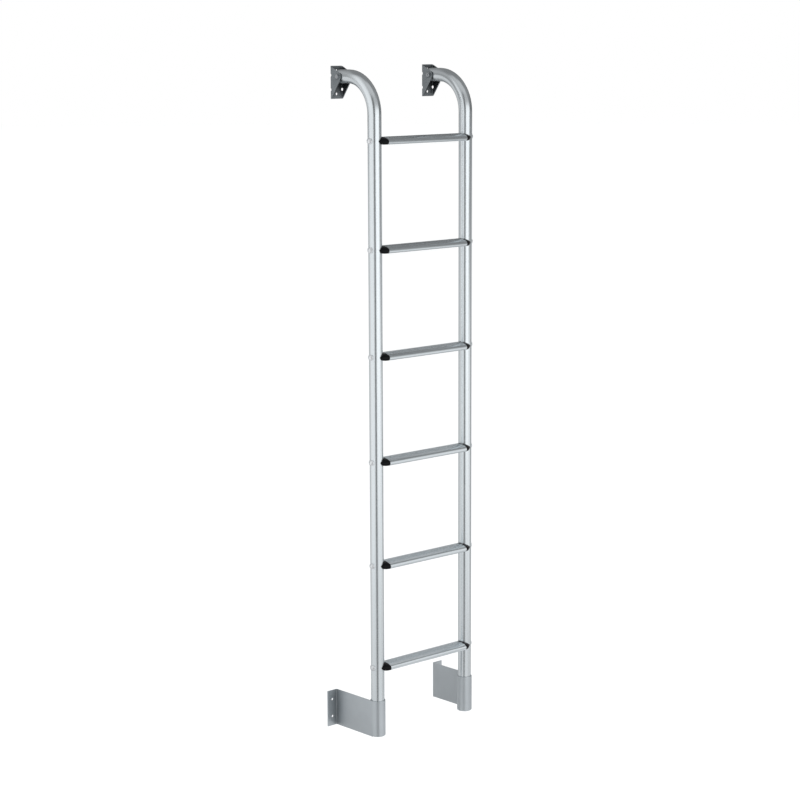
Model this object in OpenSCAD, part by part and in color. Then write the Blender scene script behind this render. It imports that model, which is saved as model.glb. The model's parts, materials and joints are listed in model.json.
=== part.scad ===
// Vehicle ladder: two bent round stiles, six flat steps with saddle end caps,
// two socket brackets at the foot and two swivelling clevis brackets at the top.
// X runs along the steps, Y towards the vehicle, Z up. The origin lies on the wall face
// of the left lower bracket, midway between its two holes.

/* [Stiles] */
// Distance between the axes of the two stiles
stile_spacing = 324; // [260:1:400]
// Outer diameter of a stile
stile_d = 36; // [30:0.5:44]
// Wall thickness of a stile
stile_wall = 2; // [1.2:0.1:3]
// Distance from the axis of a stile to the wall that carries the ladder
wall_gap = 149.5; // [140:0.5:220]
// Bend radius of a stile, on its axis
bend_r = 96; // [80:1:105]
// Straight length of a stile above the centre of the top step
top_straight = 66; // [40:1:200]

/* [Steps] */
// Number of steps
step_count = 6; // [3:1:8]
// Height from one step to the next
step_pitch = 280; // [220:5:320]
// Height of the lowest step above the lower bracket holes' centre
first_step = 142; // [100:1:200]
// Depth of a step from front to back
step_depth = 41; // [34:0.5:60]
// Thickness of a step
step_h = 19; // [17:0.5:24]
// How far the middle of a step lies in front of the stile axis
step_forward = 10.5; // [6:0.5:14]
// Wall thickness of the step extrusion
step_wall = 1.8; // [1.2:0.1:2.4]
// Radius of a step's front edge
step_nose_r = 7.3; // [6:0.1:8]
// Radius of the slope that leads from a step's flat top down to its front edge
step_slope_r = 45; // [30:1:60]
// Radius of the rear edges of a step
step_rear_r = 3; // [1.5:0.5:6]
// Depth of the grip grooves in a step's top
groove_h = 0.6; // [0.3:0.1:0.8]
// Width of a grip groove
groove_w = 1.3; // [0.6:0.1:1.8]
// Distance from groove to groove
groove_pitch = 2.6; // [2:0.1:2.8]
// Number of grip grooves
groove_count = 9; // [3:1:10]

/* [Step caps] */
// Thickness of a cap between the stile and the end of the step
cap_gap = 4.2; // [2:0.1:6]
// How far the cap's nose stands proud of the stile at its front
cap_proud = 1.8; // [1:0.1:3]
// How far the cap's nose reaches past the front line of the stile
cap_reach = 1.6; // [0:0.1:4]
// Length of the rounded part of the nose, along the step
cap_nose_l = 14.6; // [10:0.1:18]
// Length of the spigot that plugs the step
cap_spigot_l = 9; // [4:0.5:16]

/* [Step screws] */
// Shank diameter of a step screw
screw_d = 8; // [5:0.5:8]
// Length of a step screw under its head
screw_l = 64; // [55:1:80]
// Diameter of the domed head
screw_head_d = 15; // [12:0.1:16]
// Height of the domed head
screw_head_h = 4.2; // [3:0.1:6]
// Width of the saddle washer under the head, round the stile
washer_l = 19; // [17:0.5:24]
// Height of the saddle washer
washer_w = 15.4; // [13:0.1:16.5]
// Thickness of the saddle washer at its middle
washer_h = 0.8; // [0.6:0.1:2]
// Wall of the screw boss inside a step
boss_wall = 2; // [1.2:0.1:2.4]

/* [Lower brackets] */
// Height of a lower bracket
foot_h = 100; // [80:1:140]
// Outer diameter of its socket
socket_d = 41; // [38:0.5:50]
// Thickness of the socket's floor
socket_floor = 4; // [2:0.5:8]
// Radius of the socket's lower edge
socket_bottom_r = 3.5; // [1:0.5:4]
// Radius of the socket's upper edge
socket_top_r = 1; // [0.4:0.1:1.5]
// Thickness of the plate and the flange
foot_t = 3; // [2.5:0.1:5]
// Inner radius of the fold between plate and flange
foot_fold_r = 1; // [0.5:0.5:6]
// Width of the flange beyond the outer face of the plate
flange_w = 32; // [28:0.5:50]
// Distance from the outer face of the plate to the holes
foot_hole_x = 14.5; // [12:0.5:20]
// Distance between the two holes of a lower bracket
foot_hole_pitch = 48; // [30:1:70]
// Diameter of a hole in a lower bracket
foot_hole_d = 7; // [5:0.5:9]

/* [Top brackets] */
// Gap between a stile and each ear
ear_gap = 0.6; // [0.5:0.1:2]
// Sheet thickness of a top bracket
clevis_t = 2.7; // [2:0.1:4]
// Inner radius of its folds
clevis_fold_r = 2.6; // [0.5:0.1:4]
// Height of the bracket above the pivot
clevis_up = 27; // [22:1:34]
// Height of the bracket below the pivot
clevis_down = 58; // [50:1:80]
// Distance from the wall to the pivot
pivot_gap = 31; // [28:0.5:40]
// Radius of the ears around the pivot
ear_r = 11; // [9:0.5:14]
// Length of a stile past the pivot
stile_end = 14; // [11:0.5:16]
// Distance between the two corner holes on one fold
corner_pitch = 37; // [30:1:44]
// Radius of a corner hole
corner_r = 4; // [3:0.5:6]
// Distance of a corner hole's centre from the faces of its fold
corner_in = 2; // [1:0.5:4]
// Distance between the two holes in the web
web_hole_pitch = 60; // [50:1:70]
// Diameter of a hole in the web
web_hole_d = 7; // [5:0.5:9]

/* [Pivot bolts] */
// Shank diameter of a pivot bolt
bolt_d = 6; // [5:0.5:8]
// Width of the bolt head and of the nut across their flats
hex_w = 10; // [9:0.5:13]
// Height of the bolt head
bolt_head_h = 4; // [3:0.1:6]
// Height of the nut
nut_h = 6; // [4:0.1:9]
// Outer diameter of a plain washer
plain_washer_d = 12; // [11:0.5:16]
// Thickness of a plain washer
plain_washer_h = 1; // [0.8:0.1:2]
// Length of the bolt that shows past the nut
bolt_past = 2; // [0:0.5:6]

/* [Fits] */
// Radial clearance of a screw or bolt in its hole
hole_clear = 0.2; // [0.1:0.05:0.4]
// Clearance of parts that fit round or into each other
fit_clear = 0.2; // [0.1:0.05:0.4]
// Gap between a screw or nut and the washer under it
seat_clear = 0.05; // [0.02:0.01:0.1]

/* [Hidden] */
$fn = 64;
SIDES = ["left", "right"];

stile_r = stile_d / 2;
socket_r = socket_d / 2;
left_x = foot_hole_x + socket_r;
bend_z = first_step + (step_count - 1) * step_pitch + top_straight;
pivot_y = wall_gap - pivot_gap;
pivot_z = bend_z + bend_r;
stile_foot_z = -foot_h / 2 + socket_floor;
stile_end_y = pivot_y + stile_end;
// Where a step's extrusion starts, and its front and rear, measured from the stile axis
step_end = stile_r + cap_gap;
step_l = stile_spacing - 2 * step_end;
step_front = -step_forward - step_depth / 2;
step_rear = -step_forward + step_depth / 2;
step_half = step_h / 2;
// Centres of the front edge and of the slope, which touch each other and a step's bottom and top
nose_y = step_front + step_nose_r;
nose_z = step_nose_r - step_half;
slope_y = nose_y + sqrt((2 * step_slope_r - step_h) * (step_h - 2 * step_nose_r));
slope_z = step_half - step_slope_r;
slope_turn = atan2(slope_y - nose_y, nose_z - slope_z);
boss_r = screw_d / 2 + hole_clear + boss_wall;
ear_in = stile_r + ear_gap;
ear_out = ear_in + clevis_t;
// Middle of a top bracket's web
web_z = pivot_z + (clevis_up - clevis_down) / 2;
washer_face = stile_r + fit_clear + washer_h;
screw_bore = screw_d + 2 * hole_clear;
bolt_bore = bolt_d + 2 * hole_clear;
// Bore that takes a stile, in a cap and in a lower bracket
stile_bore = stile_d + 2 * fit_clear;
// Distance from the middle of the stile to the seats of the bolt head and of the nut
nut_seat = ear_out + plain_washer_h + 2 * seat_clear;
// How far a cutting shape runs past its piece, or one shape into the next
past = 1;

function step_z(i) = first_step + (i - 1) * step_pitch;
// Point where a line from p touches a circle of radius r round the origin, on one side
function touch(p, r, side) =
    let (a = atan2(p[1], p[0]) + side * acos(r / norm(p))) [r * cos(a), r * sin(a)];

// Sets what is drawn round a left stile, with its axis on X = 0 and Y = 0, on either side
module on_side(side) {
    if (side == "left") translate([left_x, -wall_gap, 0]) children();
    else translate([left_x + stile_spacing, -wall_gap, 0]) mirror([1, 0, 0]) children();
}

// Extrudes a shape drawn in Y and Z along X, from x on
module along_x(l, x) {
    translate([x, 0, 0]) rotate([90, 0, 90]) linear_extrude(l) children();
}

// Extrudes a shape from just behind the wall face at the origin, to a depth in front of it
module from_wall(depth) {
    translate([0, past, 0]) rotate([90, 0, 0]) linear_extrude(depth + past) children();
}

// A solid of revolution about X, whose profile is drawn as radius and X
module along_x_round() {
    rotate([0, 90, 0]) rotate_extrude() children();
}

module at_steps() {
    for (i = [1 : step_count]) translate([0, 0, step_z(i)]) children();
}

module at_pivot() {
    translate([0, pivot_y, pivot_z]) children();
}

// A round bar along the course of a stile, from height z0 to the distance y1
module bent_bar(d, z0, y1) {
    translate([0, 0, z0]) cylinder(d = d, h = bend_z - z0);
    translate([0, bend_r, bend_z]) rotate([90, 0, -90])
        rotate_extrude(angle = 90) translate([bend_r, 0]) circle(d = d);
    translate([0, bend_r, pivot_z]) rotate([-90, 0, 0]) cylinder(d = d, h = y1 - bend_r);
}

module stile() {
    color("silver") difference() {
        bent_bar(stile_d, stile_foot_z, stile_end_y);
        bent_bar(stile_d - 2 * stile_wall, stile_foot_z - past, stile_end_y + past);
        at_steps() along_x(stile_d + 2 * past, -stile_r - past) circle(d = screw_bore);
        at_pivot() along_x(stile_d + 2 * past, -stile_r - past) circle(d = bolt_bore);
    }
}

// Height of a step's top surface at a distance from the stile axis
function step_top(y) =
    y >= slope_y ? step_half : slope_z + sqrt(pow(step_slope_r, 2) - pow(slope_y - y, 2));

// Section of a step: a flat top that slopes down to a rounded front edge, and small radii
// behind, drawn inset by a wall
module step_outline(inset) {
    half = step_half - inset;
    edge = max(step_rear_r - inset, 0.2);
    rear = step_rear - inset;
    reach = step_h * 2;
    translate([nose_y, nose_z]) circle(r = step_nose_r - inset);
    intersection() {
        translate([slope_y, slope_z]) circle(r = step_slope_r - inset);
        polygon([
            [nose_y, nose_z], [nose_y - reach * sin(slope_turn), nose_z + reach * cos(slope_turn)],
            [slope_y, slope_z + 2 * step_slope_r], [slope_y, -half], [nose_y, -half]
        ]);
    }
    translate([slope_y, -half]) square([rear - edge - slope_y, 2 * half]);
    translate([rear - edge, -half + edge]) square([edge, 2 * (half - edge)]);
    for (side = [-1, 1]) translate([rear - edge, side * (half - edge)]) circle(r = edge);
}

// A step is one extrusion with a boss for its screws and grip grooves on top
module step() {
    grooves_y = (step_front + step_rear) / 2 - (groove_count - 1) / 2 * groove_pitch;
    color("lightgray") along_x(step_l, step_end) difference() {
        step_outline(0);
        difference() {
            step_outline(step_wall);
            circle(r = boss_r);
            translate([-step_wall / 2, -step_half]) square([step_wall, step_h]);
        }
        circle(d = screw_bore);
        for (i = [0 : groove_count - 1]) {
            y = grooves_y + i * groove_pitch;
            translate([y - groove_w / 2, step_top(y) - groove_h]) square([groove_w, step_h]);
        }
    }
}

// The outline of a step as points, from where its slope starts round the front to the rear
step_points = concat(
    [for (k = [0 : 4]) let (a = 90 + k / 4 * slope_turn)
        [slope_y + step_slope_r * cos(a), slope_z + step_slope_r * sin(a)]],
    [for (k = [1 : 8]) let (a = 90 + slope_turn + k / 8 * (180 - slope_turn))
        [nose_y + step_nose_r * cos(a), nose_z + step_nose_r * sin(a)]],
    [
        [step_rear - step_rear_r, -step_half], [step_rear, step_rear_r - step_half],
        [step_rear, step_half - step_rear_r], [step_rear - step_rear_r, step_half]
    ]
);

// The cap's nose is lofted through sections of the step's own outline. Going from the step
// to the front of the stile, they shrink in height as a quarter ellipse does and draw in
// from the step's front to the stile's.
nose_x = cap_nose_l - cap_reach;
cap_turns = [0, 22, 40, 55, 67, 77, 84];
cap_places = concat(
    [step_end, (step_end + nose_x) / 2], [for (a = cap_turns) nose_x - cap_nose_l * sin(a)]
);
cap_front = stile_r + cap_proud;
function cap_half(x) = x >= nose_x ? step_half : step_half * sqrt(1 - pow((nose_x - x) / cap_nose_l, 2));
function cap_depth(x) =
    -step_front - (-step_front - cap_front) * pow((step_end - x) / (step_end + cap_reach), 1.6);
function cap_section(x) =
    let (
        high = cap_half(x) / step_half,
        deep = (step_rear + cap_depth(x)) / (step_rear - step_front)
    )
    [for (p = step_points) [x, step_rear - (step_rear - p[0]) * deep, p[1] * high]];

module cap_body() {
    rings = [for (x = cap_places) cap_section(x)];
    n = len(rings[0]);
    last = len(rings) - 1;
    points = [for (ring = rings) each ring];
    sides = [
        for (k = [0 : last - 1]) for (j = [0 : n - 1])
            let (a = k * n + j, b = k * n + (j + 1) % n)
            each [[a, b, b + n], [a, b + n, a + n]]
    ];
    polyhedron(points, concat(
        sides,
        [[for (j = [n - 1 : -1 : 0]) j]],
        [[for (j = [0 : n - 1]) last * n + j]]
    ));
}

module step_cap() {
    color([0.08, 0.08, 0.09]) difference() {
        union() {
            cap_body();
            along_x(cap_spigot_l + past, step_end - past) intersection() {
                step_outline(step_wall + fit_clear);
                translate([step_front, -step_half])
                    square([-step_front - boss_r - fit_clear, step_h]);
            }
        }
        translate([0, 0, -step_h]) cylinder(d = stile_bore, h = 2 * step_h);
        along_x(step_end + cap_spigot_l, 0) circle(d = screw_bore);
    }
}

// A washer with round ends, flat under the screw head and hollowed to sit on the round stile
module step_washer() {
    reach = (washer_l - washer_w) / 2;
    color("gray") difference() {
        along_x(washer_face, -washer_face) difference() {
            union() {
                translate([-reach, -washer_w / 2]) square([2 * reach, washer_w]);
                for (y = [-reach, reach]) translate([y, 0]) circle(d = washer_w);
            }
            circle(d = screw_bore);
        }
        translate([0, 0, -washer_w]) cylinder(d = stile_bore, h = 2 * washer_w);
    }
}

// A long screw with a smooth domed head
module step_screw() {
    head_x = -washer_face - seat_clear - screw_head_h;
    dome_r = (pow(screw_head_d / 2, 2) + pow(screw_head_h, 2)) / (2 * screw_head_h);
    color("gainsboro") {
        intersection() {
            translate([head_x + dome_r, 0, 0]) sphere(r = dome_r);
            along_x(screw_head_h, head_x) circle(d = screw_head_d);
        }
        along_x(screw_head_h + screw_l - past, head_x + past) circle(d = screw_d);
    }
}

// A round bar whose lower and upper edges are rounded
module rounded_bar(r, h, low_r, top_r) {
    rotate_extrude() {
        square([r - low_r, low_r]);
        translate([0, low_r]) square([r, h - low_r - top_r]);
        translate([0, h - top_r]) square([r - top_r, top_r]);
        translate([r - low_r, low_r]) circle(r = low_r);
        translate([r - top_r, h - top_r]) circle(r = top_r);
    }
}

// Section of a lower bracket behind its socket: a plate that leaves the socket's outer side
// as a tangent, a fold, and the flange with its rounded edge
module foot_section() {
    flange_y = wall_gap - foot_t;
    edge_x = -socket_r - flange_w + foot_t / 2;
    fold_x = -socket_r - foot_fold_r;
    fold_y = flange_y - foot_fold_r;
    translate([-socket_r, 0]) square([foot_t, fold_y]);
    translate([fold_x, fold_y]) intersection() {
        difference() {
            circle(r = foot_fold_r + foot_t);
            circle(r = foot_fold_r);
        }
        square(foot_fold_r + foot_t);
    }
    translate([edge_x, flange_y]) square([fold_x - edge_x, foot_t]);
    translate([edge_x, wall_gap - foot_t / 2]) circle(d = foot_t);
}

module lower_bracket() {
    color("darkgray") translate([0, 0, -foot_h / 2]) difference() {
        union() {
            rounded_bar(socket_r, foot_h, socket_bottom_r, socket_top_r);
            linear_extrude(foot_h) foot_section();
        }
        translate([0, 0, socket_floor]) cylinder(d = stile_bore, h = foot_h);
        for (side = [-1, 1])
            translate([-socket_r - foot_hole_x, wall_gap, (foot_h + side * foot_hole_pitch) / 2])
                from_wall(foot_t + past) circle(d = foot_hole_d);
    }
}

// A top bracket seen from its side: the ears narrow to a round end at the pivot
module ear_outline() {
    top = [pivot_gap, clevis_up];
    foot = [pivot_gap - clevis_t, -clevis_down];
    circle(r = ear_r);
    polygon([top, touch(top, ear_r, 1), touch(foot, ear_r, -1), foot, [pivot_gap, -clevis_down]]);
}

// A rectangle centred on Y, with its two far corners rounded
module channel_block(w, l, r) {
    translate([-w / 2, 0]) square([w, l - r]);
    translate([r - w / 2, 0]) square([w - 2 * r, l]);
    for (side = [-1, 1]) translate([side * (w / 2 - r), l - r]) circle(r = r);
}

// A top bracket seen from above: a folded channel, open to the front
module channel_outline() {
    depth = pivot_gap + ear_r;
    translate([0, wall_gap - depth]) difference() {
        channel_block(2 * ear_out, depth, clevis_fold_r + clevis_t);
        translate([0, -past]) channel_block(2 * ear_in, depth + past - clevis_t, clevis_fold_r);
    }
}

// Each fold has two round holes bitten out of it, through the ear and through the web
module top_bracket() {
    bite = clevis_t + clevis_fold_r / 2;
    color("gray") difference() {
        intersection() {
            translate([0, 0, pivot_z - clevis_down]) linear_extrude(clevis_up + clevis_down)
                channel_outline();
            at_pivot() along_x(2 * ear_out, -ear_out) ear_outline();
        }
        at_pivot() along_x(2 * (ear_out + past), -ear_out - past) circle(d = bolt_bore);
        for (side = [-1, 1]) translate([0, wall_gap, web_z + side * web_hole_pitch / 2])
            from_wall(clevis_t + past) circle(d = web_hole_d);
        for (x = [-1, 1]) for (z = [-1, 1])
            translate([x * ear_out, wall_gap, web_z + z * corner_pitch / 2]) {
                translate([0, -corner_in, 0]) along_x(2 * bite, -bite) circle(r = corner_r);
                translate([-x * corner_in, 0, 0]) from_wall(bite) circle(r = corner_r);
            }
    }
}

module pivot_washers() {
    color("lightgray") at_pivot()
        for (x = [seat_clear - nut_seat, ear_out + seat_clear]) along_x(plain_washer_h, x)
            difference() {
                circle(d = plain_washer_d);
                circle(d = bolt_bore);
            }
}

// A hexagon along X, from x on, whose corners are turned off at the ends named in turned
module hexagon(h, x, turned) {
    corner = hex_w / 2 / cos(30);
    flat_r = 0.95 * hex_w / 2;
    drop = (corner - flat_r) * tan(30);
    intersection() {
        along_x(h, x) circle(r = corner, $fn = 6);
        along_x_round() polygon([
            [0, x], [turned[0] ? flat_r : corner, x], [corner, x + drop],
            [corner, x + h - drop], [turned[1] ? flat_r : corner, x + h], [0, x + h]
        ]);
    }
}

module pivot_bolt() {
    color("gainsboro") at_pivot() {
        hexagon(bolt_head_h, -nut_seat - bolt_head_h, [true, false]);
        along_x(2 * nut_seat + nut_h + bolt_past + past, -nut_seat - past) circle(d = bolt_d);
    }
}

module pivot_nut() {
    color("gainsboro") at_pivot() difference() {
        hexagon(nut_h, nut_seat, [true, true]);
        along_x(nut_h + 2 * past, nut_seat - past) circle(d = bolt_d + 2 * seat_clear);
    }
}

for (side = SIDES) {
    on_side(side) stile();
    on_side(side) at_steps() step_screw();
    on_side(side) at_steps() step_washer();
    on_side(side) lower_bracket();
    on_side(side) top_bracket();
    on_side(side) pivot_bolt();
    on_side(side) pivot_washers();
    on_side(side) pivot_nut();
    for (i = [1 : step_count])
        on_side(side) translate([0, 0, step_z(i)]) step_cap();
}
for (i = [1 : step_count])
    on_side("left") translate([0, 0, step_z(i)]) step();
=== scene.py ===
import json
import math

import bmesh
import bpy
from mathutils import Matrix, Vector


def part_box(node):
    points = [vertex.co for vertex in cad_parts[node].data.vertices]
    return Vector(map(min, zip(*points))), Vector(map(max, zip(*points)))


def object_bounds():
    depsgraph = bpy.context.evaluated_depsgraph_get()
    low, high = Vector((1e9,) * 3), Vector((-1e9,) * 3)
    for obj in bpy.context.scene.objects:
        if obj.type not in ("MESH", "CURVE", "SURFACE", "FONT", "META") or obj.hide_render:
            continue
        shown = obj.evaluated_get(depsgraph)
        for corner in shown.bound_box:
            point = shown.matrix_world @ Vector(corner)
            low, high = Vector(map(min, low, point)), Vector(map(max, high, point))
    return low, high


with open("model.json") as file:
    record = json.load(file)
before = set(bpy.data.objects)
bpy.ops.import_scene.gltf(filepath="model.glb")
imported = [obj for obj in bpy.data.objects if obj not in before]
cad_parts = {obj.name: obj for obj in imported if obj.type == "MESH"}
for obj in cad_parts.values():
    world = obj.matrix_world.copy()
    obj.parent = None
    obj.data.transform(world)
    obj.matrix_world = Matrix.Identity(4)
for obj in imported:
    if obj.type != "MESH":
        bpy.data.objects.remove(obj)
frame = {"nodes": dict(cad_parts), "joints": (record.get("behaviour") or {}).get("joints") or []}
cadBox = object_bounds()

nodes = frame["nodes"]
scene = bpy.context.scene
degrees = 180 / math.pi  # in a radian


# One output socket. Arithmetic on it adds Math nodes to its tree.
class Wire:
    def __init__(self, shader, socket):
        self.shader = shader
        self.socket = socket

    def math(self, operation, *others):
        inputs = dict(enumerate((self, *others)))
        return self.shader.add("ShaderNodeMath", {"operation": operation}, inputs)

    def __add__(self, other):
        return self.math("ADD", other)

    def __sub__(self, other):
        return self.math("SUBTRACT", other)

    def __rsub__(self, other):
        return self.shader.add("ShaderNodeMath", {"operation": "SUBTRACT"}, {0: other, 1: self})

    def __mul__(self, other):
        return self.math("MULTIPLY", other)

    def __truediv__(self, other):
        return self.math("DIVIDE", other)

    def __neg__(self):
        return self.math("MULTIPLY", -1)

    __radd__ = __add__
    __rmul__ = __mul__

    def atLeast(self, other):
        return self.math("MAXIMUM", other)

    def atMost(self, other):
        return self.math("MINIMUM", other)

    def size(self):
        return self.math("ABSOLUTE")

    def root(self):
        return self.math("SQRT")

    # From start below low to end above high, smooth between
    def rise(self, low, high, start=0, end=1):
        return self.shader.add(
            "ShaderNodeMapRange",
            {"interpolation_type": "SMOOTHSTEP"},
            {"Value": self, "From Min": low, "From Max": high, "To Min": start, "To Max": end},
        )

    # A pattern from 0 to 1, turned into a change round 0 whose whole span is the amount
    def vary(self, amount):
        return (self - 0.5) * amount


# The node tree of a material or of the world, emptied and filled again
class Shader:
    def __init__(self, owner):
        owner.use_nodes = True
        self.tree = owner.node_tree
        self.tree.nodes.clear()

    def add(self, kind, settings=None, inputs=None, output=0):
        made = self.tree.nodes.new(kind)
        for name, value in (settings or {}).items():
            setattr(made, name, value)
        for key, value in (inputs or {}).items():
            if isinstance(value, Wire):
                self.tree.links.new(value.socket, made.inputs[key])
            else:
                made.inputs[key].default_value = value
        if made.outputs:  # the last node of a tree has none
            return Wire(self, made.outputs[output])

    def place(self):
        return self.add("ShaderNodeTexCoord", output="Object")

    def normal(self):
        return self.add("ShaderNodeNewGeometry", output="Normal")

    def split(self, vector):
        made = self.add("ShaderNodeSeparateXYZ", inputs={0: vector}).socket.node
        return [Wire(self, out) for out in made.outputs]

    def join(self, x, y, z):
        return self.add("ShaderNodeCombineXYZ", inputs={0: x, 1: y, 2: z})

    # How far one vector reaches along another
    def along(self, vector, direction):
        settings = {"operation": "DOT_PRODUCT"}
        return self.add("ShaderNodeVectorMath", settings, {0: vector, 1: direction}, output="Value")

    def noise(self, vector, scale, detail, rough):
        inputs = {"Vector": vector, "Scale": scale, "Detail": detail, "Roughness": rough}
        return self.add("ShaderNodeTexNoise", None, inputs)

    # Sockets 6 and 7 of a Mix node are its two colours, and output 2 is the mixed one
    def blend(self, share, colour, other):
        settings = {"data_type": "RGBA"}
        return self.add("ShaderNodeMix", settings, {0: share, 6: colour, 7: other}, output=2)

    # 1 on an edge or in a fold, 0 on a flat face
    def edges(self, radius, samples=6, low=0.02, high=0.3):
        rounded = self.add("ShaderNodeBevel", {"samples": samples}, {"Radius": radius})
        return (1 - self.along(self.normal(), rounded)).rise(low, high)

    # 1 where nothing stands within reach, 0 deep in a corner
    def openness(self, reach, samples=8):
        settings = {"samples": samples}
        return self.add("ShaderNodeAmbientOcclusion", settings, {"Distance": reach}, output="AO")

    def bump(self, height, distance, strength):
        inputs = {"Height": height, "Distance": distance, "Strength": strength}
        return self.add("ShaderNodeBump", None, inputs)

    def surface(self, inputs):
        body = self.add("ShaderNodeBsdfPrincipled", None, inputs)
        self.add("ShaderNodeOutputMaterial", inputs={"Surface": body})


# A colour, lighter or darker by a factor, as a shader takes it
def shade(colour, factor=1):
    return (*(min(c * factor, 1) for c in colour), 1)


def newMaterial(name):
    made = bpy.data.materials.new(name)
    return made, Shader(made)


def dress(names, material):
    for name in names:
        for slot in nodes[name].material_slots:
            slot.material = material


# Places read from the frame
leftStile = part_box("left_stile")
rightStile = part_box("right_stile")
stileRadius = (leftStile[1].x - leftStile[0].x) / 2
leftX = leftStile[0].x + stileRadius
rightX = rightStile[0].x + stileRadius
middleX = (leftX + rightX) / 2
stileY = leftStile[0].y + stileRadius
pivot = Vector(frame["joints"][0]["pos_m"])
stepNames = sorted(name for name in nodes if name.removeprefix("step_").isdigit())
stepBoxes = [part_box(name) for name in stepNames]
stepPitch = stepBoxes[1][0].z - stepBoxes[0][0].z
firstStep = (stepBoxes[0][0].z + stepBoxes[0][1].z) / 2
stepMiddle = (stepBoxes[0][0].y + stepBoxes[0][1].y) / 2
stepEnd = stepBoxes[0][1].x - middleX  # from the ladder's middle

# The centre of a stile's bend
bendRadius = 0.096  # metres, on the stile's axis, which the frame doesn't give
bendY = stileY + bendRadius
bendZ = pivot.z - bendRadius


photoCamera = {
    "place": (-3.6023, -4.2382, 1.8068),  # metres
    "heading": 42.31,  # degrees from +Y towards +X
    "down": 10.41,
    "tilt": -0.217,
    "lens": 95.28,  # mm
    "sensor": 36,  # mm
    "rise": 0.031,  # vertical shift of the framing
    "reach": 60,  # metres that it sees
}


def makeCamera(info):
    data = bpy.data.cameras.new("photoCamera")
    data.sensor_width = info["sensor"]
    data.lens = info["lens"]
    data.shift_y = info["rise"]
    data.clip_end = info["reach"]
    camera = bpy.data.objects.new("photoCamera", data)
    scene.collection.objects.link(camera)
    turn = Matrix.Rotation(math.radians(-info["heading"]), 4, "Z")
    turn @= Matrix.Rotation(math.radians(90 - info["down"]), 4, "X")
    turn @= Matrix.Rotation(math.radians(info["tilt"]), 4, "Z")
    camera.matrix_world = Matrix.Translation(info["place"]) @ turn
    scene.camera = camera


# The stage is laid out from the foot of the left stile, as the camera sees it: to the right
# in the picture, and towards the camera
headingTurn = math.radians(photoCamera["heading"])
imageRight = Vector((math.cos(headingTurn), -math.sin(headingTurn), 0))
towardsCamera = Vector((-math.sin(headingTurn), -math.cos(headingTurn), 0))
stileFoot = Vector((leftX, stileY, 0))


# A point by its distance from the left stile and its angle, 0 towards the camera and
# positive to the right in the picture
def floorPoint(distance, angle):
    turn = math.radians(angle)
    return stileFoot + (imageRight * math.sin(turn) + towardsCamera * math.cos(turn)) * distance


# The same angle in a shader, from the two distances
def floorAngle(right, near):
    return right.math("ARCTAN2", near) * degrees


# 1 between two values and 0 outside them
def band(value, low, high, soft):
    return value.rise(low - soft, low + soft) * value.rise(high - soft, high + soft, 1, 0)


# One level laid over another where a mask is 1
def over(level, mask, other):
    return level * (1 - mask) + mask * other


white = (1, 1, 1, 1)
lampTint = (0.975, 0.99, 1, 1)  # of all that the metal mirrors

floorInfo = {
    "drop": 0.4,  # metres from the lowest point of the ladder to the floor
    "size": 50,
    "segments": 96,
    "colour": (0.9, 0.9, 0.9),
    "rough": 0.9,
    "glow": 0.48,  # lifts the lit floor to white for the camera, and keeps its shadow
    "pool": (0.5, 2.2, 0.9, 0.42),  # level that metal mirrors: from, to, near, far
    "sectors": [
        (-135, -68, 1.0, 1.5, 0.24, 0.72),  # at the left: angles, and its own pool
        (16, 115, 2.2, 3.6, 0.8, 0.4),  # at the right, in the same way
    ],
    "sectorSoft": 8,
    "darkStrip": (-12, 13, 5, 0.23),  # towards the camera: from, to, softness, level
}
floorHeight = cadBox[0].z - floorInfo["drop"]


def makeFloor(info):
    mesh = bpy.data.meshes.new("floor")
    shape = bmesh.new()
    bmesh.ops.create_circle(shape, cap_ends=True, segments=info["segments"], radius=info["size"])
    bmesh.ops.translate(shape, verts=shape.verts, vec=(0, 0, floorHeight))
    shape.to_mesh(mesh)
    shape.free()
    floor = bpy.data.objects.new("floor", mesh)
    scene.collection.objects.link(floor)
    material, shader = newMaterial("paleFloor")
    camera = shader.add("ShaderNodeLightPath", output="Is Camera Ray")
    glossy = shader.add("ShaderNodeLightPath", output="Is Glossy Ray")
    lit = shader.add("ShaderNodeBsdfPrincipled", None, {
        "Base Color": shade(info["colour"]),
        "Roughness": info["rough"],
        "Emission Color": white,
        "Emission Strength": info["glow"] * camera,
    })
    place = shader.place()
    right = shader.along(place, imageRight) - stileFoot.dot(imageRight)
    near = shader.along(place, towardsCamera) - stileFoot.dot(towardsCamera)
    distance = (right * right + near * near).root()
    angle = floorAngle(right, near)
    level = distance.rise(*info["pool"])
    for low, high, *pool in info["sectors"]:
        level = over(level, band(angle, low, high, info["sectorSoft"]), distance.rise(*pool))
    low, high, soft, dark = info["darkStrip"]
    level = over(level, band(angle, low, high, soft), dark)
    seen = shader.add("ShaderNodeEmission", None, {"Color": lampTint, "Strength": level})
    mixed = shader.add("ShaderNodeMixShader", None, {0: glossy, 1: lit, 2: seen})
    shader.add("ShaderNodeOutputMaterial", inputs={"Surface": mixed})
    mesh.materials.append(material)


keyInfo = {
    "place": (-3.4, -2.6, 4.2),  # metres
    "size": 2.6,
    "power": 120,  # watts
}


# Lights the matt surfaces and casts the shadow. The metal mirrors the soft boxes instead.
def makeKeyLight(info):
    data = bpy.data.lights.new("softKey", "AREA")
    data.shape = "SQUARE"
    data.size = info["size"]
    data.energy = info["power"]
    lamp = bpy.data.objects.new("softKey", data)
    scene.collection.objects.link(lamp)
    lamp.location = info["place"]
    middle = (cadBox[0] + cadBox[1]) / 2
    lamp.rotation_euler = (middle - lamp.location).to_track_quat("-Z", "Y").to_euler()
    lamp.visible_glossy = False


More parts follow.
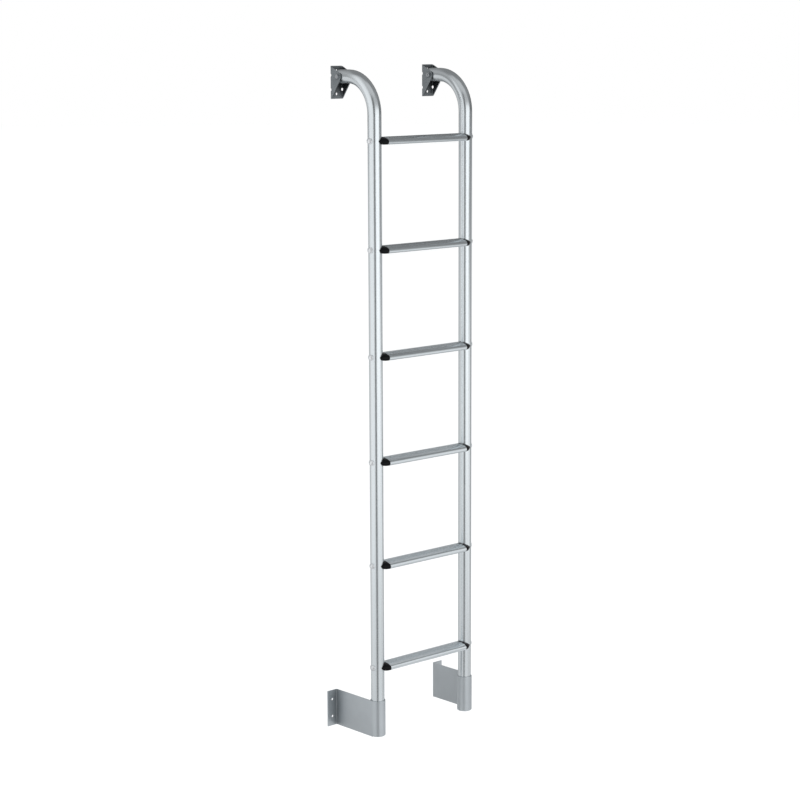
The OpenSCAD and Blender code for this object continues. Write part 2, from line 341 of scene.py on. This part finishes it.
# Two tall soft boxes, and pale cards beside and behind, near enough that each stile and step
# mirrors them differently. They give gloss alone. Each stands between two floor points, and
# "soft" is the width of its blurred sides. "low" and "high" give two heights each, and the
# levels under and over them. Between the two heights of "top" a box fades out.
softBoxes = {
    "softBoxLeft": {
        "start": (0.36, -96),
        "end": (1.15, -18),
        "soft": 0.06,
        "low": (-0.3, 0.6, 0.68, 0.97),
        "high": (1.7, 2.5, 1, 0.55),
        "top": (3.0, 3.3),
    },
    "softBoxRight": {
        "start": (2.2, 14),
        "end": (2.2, 80),
        "soft": 0.2,
        "low": (-1.0, 0.9, 0.55, 1.22),
        "high": (1.7, 2.5, 1, 0.42),
        "top": (3.0, 3.3),
    },
    "sideCard": {
        "start": (1.0, 80),
        "end": (1.05, 108),
        "soft": 0.05,
        "low": (-0.3, 0.3, 0.6, 0.94),
        "high": (0.7, 1.35, 1, 0.4),
        "top": (1.2, 1.7),
    },
    "backCard": {
        "start": (1.0, -130),
        "end": (1.0, 130),
        "soft": 0.1,
        "low": (-0.4, 0.6, 0.56, 0.56),
        "high": (0.8, 1.5, 1, 0.9),
        "top": (1.1, 1.6),
    },
}


def makeSoftBox(name, info):
    start = floorPoint(*info["start"])
    end = floorPoint(*info["end"])
    side = (end - start).normalized()
    width = (end - start).length
    soft = info["soft"]
    bottom = Vector((0, 0, floorHeight))
    shape = bmesh.new()
    corners = [shape.verts.new(point + bottom) for point in (start - side * soft, end + side * soft)]
    edge = shape.edges.new(corners)
    made = bmesh.ops.extrude_edge_only(shape, edges=[edge])["geom"]
    raised = [item for item in made if isinstance(item, bmesh.types.BMVert)]
    bmesh.ops.translate(shape, verts=raised, vec=(0, 0, info["top"][1] - floorHeight))
    mesh = bpy.data.meshes.new(name)
    shape.to_mesh(mesh)
    shape.free()
    box = bpy.data.objects.new(name, mesh)
    scene.collection.objects.link(box)
    box.visible_camera = False
    box.visible_diffuse = False
    box.visible_transmission = False
    box.visible_shadow = False
    material, shader = newMaterial(name)
    place = shader.place()
    height = shader.split(place)[2]
    shown = band(shader.along(place, side) - start.dot(side), 0, width, soft)
    shown = shown * height.rise(*info["top"], 1, 0)
    level = height.rise(*info["low"]) * height.rise(*info["high"])
    glow = shader.add("ShaderNodeEmission", None, {"Color": lampTint, "Strength": level})
    clear = shader.add("ShaderNodeBsdfTransparent")
    mixed = shader.add("ShaderNodeMixShader", None, {0: shown, 1: clear, 2: glow})
    shader.add("ShaderNodeOutputMaterial", inputs={"Surface": mixed})
    mesh.materials.append(material)


# The room that polished metal mirrors round the soft boxes: walls of three levels, darkest
# straight behind, a dark gap at the camera and a soft light over it. The camera sees white.
# Angles are in degrees, as on the floor, and heights are angles above the horizon.
room = {
    "walls": (-60, 60, 0.34, 0.19),  # from, to, level at the left, level at the right
    "behind": (130, 165, 0.15),  # angle on both sides from which it darkens, to, level
    "lift": (5, 30, 0.1),  # heights from which the walls lighten, to, and by how much
    "gap": (-13, 12, 6, 0.17),  # from, to, softness, level
    "high": (35, 60, 0.25),  # heights from, to, level
    "overhead": (-75, 75, 38, 80, 0.6),  # from, to, heights from, to, level
    "overheadSoft": 6,
    "fill": 0.62,  # level of the room's light on matt surfaces
}


def makeWorld(info):
    world = bpy.data.worlds.new("studioRoom")
    scene.world = world
    shader = Shader(world)
    direction = shader.add("ShaderNodeTexCoord", output="Generated")
    angle = floorAngle(shader.along(direction, imageRight), shader.along(direction, towardsCamera))
    up = shader.split(direction)[2].math("ARCSINE") * degrees
    level = angle.rise(*info["walls"])
    low, high, dark = info["behind"]
    level = over(level, angle.size().rise(low, high), dark)
    low, high, lift = info["lift"]
    level = level + up.rise(low, high, 0, lift)
    low, high, soft, dark = info["gap"]
    level = over(level, band(angle, low, high, soft), dark)
    low, high, dim = info["high"]
    level = over(level, up.rise(low, high), dim)
    left, right, low, high, bright = info["overhead"]
    soft = info["overheadSoft"]
    level = over(level, band(angle, left, right, soft) * band(up, low, high, soft), bright)
    camera = shader.add("ShaderNodeLightPath", output="Is Camera Ray")
    glossy = shader.add("ShaderNodeLightPath", output="Is Glossy Ray")
    strength = level * glossy + (1 - glossy) * info["fill"]
    strength = strength * (1 - camera) + camera
    colour = shader.blend(camera, lampTint, white)
    body = shader.add("ShaderNodeBackground", None, {"Color": colour, "Strength": strength})
    shader.add("ShaderNodeOutputWorld", inputs={"Surface": body})


# In every finish lengths are in metres and scales are patterns per metre. A value that ends
# in Tone or Rough is what its pattern changes in the mix of shades or in the roughness.
tubeFinish = {
    "colour": (0.77, 0.808, 0.83),
    "shades": (0.94, 1.05),
    "rough": 0.22,
    "lineWidth": 0.0007,  # of the fine lines that drawing leaves along the tube
    "lineLength": 0.12,
    "lineDepth": 0.000005,
    "lineStrength": 0.6,
    "lineTone": 0.3,
    "lineRough": 0.05,
    "cloudScale": 14,
    "cloudTone": 0.3,
    "cloudRough": 0.04,
    "scratchScale": (900, 6),  # across the tube and along it
    "scratchShown": (0.72, 0.78),
    "scratchDepth": 0.6,  # in line depths
    "scratchRough": 0.05,
    "meanTone": 0.5,
}


# Position in a stile: across it in two directions, and along its bent course
def stileCourse(shader):
    x, y, z = shader.split(shader.place())
    inY = (y - bendY).atMost(0)
    inZ = (z - bendZ).atLeast(0)
    across = (inY * inY + inZ * inZ).root() - bendRadius
    side = (x - middleX).size() - (rightX - leftX) / 2
    turned = inZ.math("ARCTAN2", -inY)
    course = z.atMost(bendZ) + turned * bendRadius + (y - bendY).atLeast(0)
    return side, across, course


def tubeAluminium(info):
    material, shader = newMaterial("tubeAluminium")
    side, across, course = stileCourse(shader)
    width = info["lineWidth"]
    lines = shader.join(side / width, across / width, course / info["lineLength"])
    drawn = shader.noise(lines, scale=1, detail=3, rough=0.6)
    cloud = shader.noise(shader.place(), info["cloudScale"], detail=3, rough=0.55)
    fine, coarse = info["scratchScale"]
    scratches = shader.join(side * fine, across * fine, course * coarse)
    scratch = shader.noise(scratches, scale=1, detail=1, rough=0.4).rise(*info["scratchShown"])
    tone = drawn.vary(info["lineTone"]) + cloud.vary(info["cloudTone"]) + info["meanTone"]
    rough = info["rough"] + drawn.vary(info["lineRough"]) + cloud.vary(info["cloudRough"])
    dark, light = (shade(info["colour"], factor) for factor in info["shades"])
    height = drawn - scratch * info["scratchDepth"]
    shader.surface({
        "Base Color": shader.blend(tone, dark, light),
        "Metallic": 1,
        "Roughness": rough + scratch * info["scratchRough"],
        "Normal": shader.bump(height, info["lineDepth"], info["lineStrength"]),
    })
    return material


stepFinish = {
    "colour": (0.7, 0.74, 0.765),
    "shades": (0.9, 1.12),
    "rough": 0.2,
    "lineWidth": 0.00055,  # of the lines that run along the extrusion
    "lineLength": 0.09,
    "lineDepth": 0.00002,
    "lineStrength": 0.6,
    "lineTone": 0.35,
    "lineRough": 0.08,
    "cloudScale": 22,
    "cloudTone": 0.3,
    "cloudRough": 0.05,
    "sawnEndWidth": 0.0011,  # of the band at a sawn end, which is smoother and lighter with a painted highlight
    "endHighlightTone": 0.5,
    "cutRough": 0.1,
    "groovePitch": 0.0026,
    "grooveWidth": 0.0013,
    "grooveEdge": 0.0002,
    "grooveLevel": (0.995, 0.999),  # how squarely a face has to look up
    "grooveShadeTone": 0.2,
    "grooveRough": 0.1,
    "meanTone": 0.5,
}


# The grooves are duller, and darker with painted shade. So are lines at their pitch on the flat
# behind them.
def stepAluminium(info):
    material, shader = newMaterial("stepAluminium")
    x, y, z = shader.split(shader.place())
    width = info["lineWidth"]
    lines = shader.join(x / info["lineLength"], y / width, z / width)
    drawn = shader.noise(lines, scale=1, detail=3, rough=0.6)
    cloud = shader.noise(shader.place(), info["cloudScale"], detail=2, rough=0.5)
    # A band at each sawn end: smoother, and lighter with a painted highlight along the edge
    sawnEndAndHighlight = (stepEnd - (x - middleX).size()).rise(0, info["sawnEndWidth"], 1, 0)
    grooves = (y - stepMiddle) / info["groovePitch"]
    fromGroove = (grooves - grooves.math("ROUND")).size() * info["groovePitch"]
    half = info["grooveWidth"] / 2
    inGroove = fromGroove.rise(half - info["grooveEdge"], half, 1, 0)
    inGroove = inGroove * shader.split(shader.normal())[2].rise(*info["grooveLevel"])
    tone = drawn.vary(info["lineTone"]) + cloud.vary(info["cloudTone"]) + info["meanTone"]
    # Painted shade darkens the grooves, and the lines at their pitch on the flat behind them
    tone = tone + sawnEndAndHighlight * info["endHighlightTone"] - inGroove * info["grooveShadeTone"]
    rough = info["rough"] + drawn.vary(info["lineRough"]) + cloud.vary(info["cloudRough"])
    dark, light = (shade(info["colour"], factor) for factor in info["shades"])
    shader.surface({
        "Base Color": shader.blend(tone, dark, light),
        "Metallic": 1,
        "Roughness": rough - sawnEndAndHighlight * info["cutRough"] + inGroove * info["grooveRough"],
        "Normal": shader.bump(drawn, info["lineDepth"], info["lineStrength"]),
    })
    return material


capFinish = {
    "colour": (0.003, 0.0035, 0.004),
    "wornShade": 3.2,
    "rough": 0.22,
    "shine": 0.1,
    "grainScale": 1800,
    "grainDepth": 0.00005,
    "grainStrength": 0.5,
    "grainRough": 0.16,
    "cloudScale": 60,
    "cloudTone": 0.2,
    "cloudRough": 0.08,
    "wornRadius": 0.0006,  # of the edges that are rubbed pale
    "wornTone": 0.5,
    "scuffScale": 240,
    "scuffShown": (0.5, 0.7),
    "scuffTone": 0.15,
}


def capPlastic(info):
    material, shader = newMaterial("capPlastic")
    place = shader.place()
    grain = shader.noise(place, info["grainScale"], detail=2, rough=0.6)
    cloud = shader.noise(place, info["cloudScale"], detail=2, rough=0.5)
    worn = shader.edges(info["wornRadius"])
    scuff = shader.noise(place, info["scuffScale"], detail=3, rough=0.65)
    scuff = scuff.rise(*info["scuffShown"])
    tone = worn * info["wornTone"] + scuff * info["scuffTone"] + cloud * info["cloudTone"]
    colour = info["colour"]
    shader.surface({
        "Base Color": shader.blend(tone, shade(colour), shade(colour, info["wornShade"])),
        "Roughness": info["rough"] + grain.vary(info["grainRough"]) + cloud.vary(info["cloudRough"]),
        "Specular IOR Level": info["shine"],
        "Normal": shader.bump(grain, info["grainDepth"], info["grainStrength"]),
    })
    return material


screwFinish = {
    "colour": (0.9, 0.915, 0.93),
    "darkShade": 0.86,
    "rough": 0.46,
    "ringWidth": 0.00012,  # of the rings that turning leaves
    "ringLength": 0.0004,
    "ringDepth": 0.000006,
    "ringStrength": 0.5,
    "ringTone": 0.3,
    "ringRough": 0.1,
    "cloudScale": 160,
    "cloudRough": 0.12,
}

washerFinish = {
    **screwFinish,
    "colour": (0.84, 0.86, 0.88),
    "rough": 0.42,
    "ringWidth": 0.0003,
}


# Turned or stamped steel: fine rings round each screw's own axis, which lies along X
def turnedSteel(name, info):
    material, shader = newMaterial(name)
    x, y, z = shader.split(shader.place())
    height = (z - firstStep) / stepPitch
    inZ = (height - height.math("ROUND")) * stepPitch
    inY = y - stileY
    radius = (inY * inY + inZ * inZ).root()
    rings = shader.join(radius / info["ringWidth"], x / info["ringLength"], 0)
    rings = shader.noise(rings, scale=1, detail=2, rough=0.5)
    cloud = shader.noise(shader.place(), info["cloudScale"], detail=3, rough=0.6)
    dark = shade(info["colour"], info["darkShade"])
    shader.surface({
        "Base Color": shader.blend(rings.vary(info["ringTone"]) + cloud, dark, shade(info["colour"])),
        "Metallic": 1,
        "Roughness": info["rough"] + rings.vary(info["ringRough"]) + cloud.vary(info["cloudRough"]),
        "Normal": shader.bump(rings, info["ringDepth"], info["ringStrength"]),
    })
    return material


footFinish = {
    "colour": (0.6, 0.636, 0.662),
    "shades": (0.9, 1.14),
    "paintedShadeColour": (0.34, 0.365, 0.38),  # painted shade in the fold
    "paintedShadeReach": 0.045,
    "paintedShadeFade": (0.4, 0.98),
    "rough": 0.42,
    "lineWidth": 0.0008,
    "lineLength": 0.07,
    "lineDepth": 0.00002,
    "lineStrength": 0.7,
    "lineTone": 0.3,
    "lineRough": 0.1,
    "cloudScale": 26,
    "cloudTone": 0.5,
    "grainScale": 1500,
    "grainDepth": 0.5,  # in line depths
    "grainRough": 0.08,
    "wornRadius": 0.0009,
    "wornTone": 0.5,
    "wornRough": 0.08,
    "meanTone": 0.4,
}


# The lower brackets are cut from an extrusion, so their drawn lines run up and down
def footAluminium(info):
    material, shader = newMaterial("footAluminium")
    x, y, z = shader.split(shader.place())
    width = info["lineWidth"]
    lines = shader.join(x / width, y / width, z / info["lineLength"])
    drawn = shader.noise(lines, scale=1, detail=3, rough=0.6)
    cloud = shader.noise(shader.place(), info["cloudScale"], detail=3, rough=0.55)
    grain = shader.noise(shader.place(), info["grainScale"], detail=1, rough=0.5)
    worn = shader.edges(info["wornRadius"])
    tone = drawn.vary(info["lineTone"]) + cloud.vary(info["cloudTone"]) + info["meanTone"]
    dark, light = (shade(info["colour"], factor) for factor in info["shades"])
    metal = shader.blend(tone + worn * info["wornTone"], dark, light)
    # Painted shade: the metal darkens towards the fold, where the bracket hides the room
    outOfPaintedShade = shader.openness(info["paintedShadeReach"]).rise(*info["paintedShadeFade"])
    rough = info["rough"] + drawn.vary(info["lineRough"]) + grain.vary(info["grainRough"])
    height = drawn + grain * info["grainDepth"]
    shader.surface({
        "Base Color": shader.blend(outOfPaintedShade, shade(info["paintedShadeColour"]), metal),
        "Metallic": 1,
        "Roughness": rough - worn * info["wornRough"],
        "Normal": shader.bump(height, info["lineDepth"], info["lineStrength"]),
    })
    return material


sheetFinish = {
    "colour": (0.245, 0.268, 0.282),
    "darkShade": 0.85,
    "edgeColour": (0.5, 0.52, 0.53),
    "paintedShadeColour": (0.02, 0.023, 0.026),  # painted shade inside the channel
    "paintedShadeReach": 0.08,
    "paintedShadeFade": (0.3, 0.95),
    "metal": 0.5,  # of the coat; a worn edge is all metal
    "rough": 0.38,
    "peelScale": 420,
    "peelDepth": 0.00006,
    "peelStrength": 0.5,
    "cloudScale": 45,
    "cloudShown": (0.3, 0.7),
    "cloudRough": 0.12,
    "wornRadius": 0.0008,
    "wornShown": (0.3, 0.6),
    "wornRough": 0.08,
}


# Folded sheet under a thin grey coat that has worn bright along its cut edges, with painted shade
# inside its channel
def coatedSheet(info):
    material, shader = newMaterial("coatedSheet")
    place = shader.place()
    peel = shader.noise(place, info["peelScale"], detail=2, rough=0.5)
    cloud = shader.noise(place, info["cloudScale"], detail=3, rough=0.6)
    worn = shader.edges(info["wornRadius"]) * cloud.rise(*info["wornShown"])
    dark = shade(info["colour"], info["darkShade"])
    coat = shader.blend(cloud.rise(*info["cloudShown"]), dark, shade(info["colour"]))
    # Painted shade: the coat darkens to near black deep in the channel
    outOfPaintedShade = shader.openness(info["paintedShadeReach"]).rise(*info["paintedShadeFade"])
    coat = shader.blend(outOfPaintedShade, shade(info["paintedShadeColour"]), coat)
    shader.surface({
        "Base Color": shader.blend(worn, coat, shade(info["edgeColour"])),
        "Metallic": info["metal"] + worn * (1 - info["metal"]),
        "Roughness": info["rough"] + cloud.vary(info["cloudRough"]) - worn * info["wornRough"],
        "Normal": shader.bump(peel, info["peelDepth"], info["peelStrength"]),
    })
    return material


boltFinish = {
    "colour": (0.6, 0.62, 0.64),
    "darkShade": 0.8,
    "rough": 0.26,
    "ringWidth": 0.00025,
    "ringLength": 0.002,
    "ringDepth": 0.00001,
    "ringStrength": 0.5,
    "ringRough": 0.14,
    "cloudScale": 130,
    "cloudShown": (0.3, 0.7),
    "cloudTone": 0.7,
    "cloudRough": 0.1,
    "wornRadius": 0.0005,
    "wornTone": 0.3,
}


# Zinc plated bolts: rings round the pivot's axis and patches of duller plating
def platedBolt(info):
    material, shader = newMaterial("platedBolt")
    x, y, z = shader.split(shader.place())
    inY = y - pivot.y
    inZ = z - pivot.z
    radius = (inY * inY + inZ * inZ).root()
    rings = shader.join(radius / info["ringWidth"], x / info["ringLength"], 0)
    rings = shader.noise(rings, scale=1, detail=2, rough=0.5)
    cloud = shader.noise(shader.place(), info["cloudScale"], detail=3, rough=0.6)
    worn = shader.edges(info["wornRadius"])
    tone = cloud.rise(*info["cloudShown"]) * info["cloudTone"] + worn * info["wornTone"]
    dark = shade(info["colour"], info["darkShade"])
    shader.surface({
        "Base Color": shader.blend(tone, dark, shade(info["colour"])),
        "Metallic": 1,
        "Roughness": info["rough"] + rings.vary(info["ringRough"]) + cloud.vary(info["cloudRough"]),
        "Normal": shader.bump(rings, info["ringDepth"], info["ringStrength"]),
    })
    return material


print("camera and stage")
makeCamera(photoCamera)
makeFloor(floorInfo)
makeKeyLight(keyInfo)
for boxName, boxInfo in softBoxes.items():
    makeSoftBox(boxName, boxInfo)
makeWorld(room)

print("stiles, steps and caps")
sides = ("left", "right")
dress([f"{side}_stile" for side in sides], tubeAluminium(tubeFinish))
dress(stepNames, stepAluminium(stepFinish))
dress([name for name in nodes if name.startswith("step_cap")], capPlastic(capFinish))

print("screws and washers")
dress([f"{side}_step_screws" for side in sides], turnedSteel("screwSteel", screwFinish))
dress([f"{side}_step_washers" for side in sides], turnedSteel("washerSteel", washerFinish))

print("brackets and bolts")
dress([f"{side}_lower_bracket" for side in sides], footAluminium(footFinish))
dress([f"{side}_top_bracket" for side in sides], coatedSheet(sheetFinish))
boltNodes = [f"{side}_pivot_{piece}" for side in sides for piece in ("bolt", "washers", "nut")]
dress(boltNodes, platedBolt(boltFinish))

scene.view_settings.view_transform = "Standard"
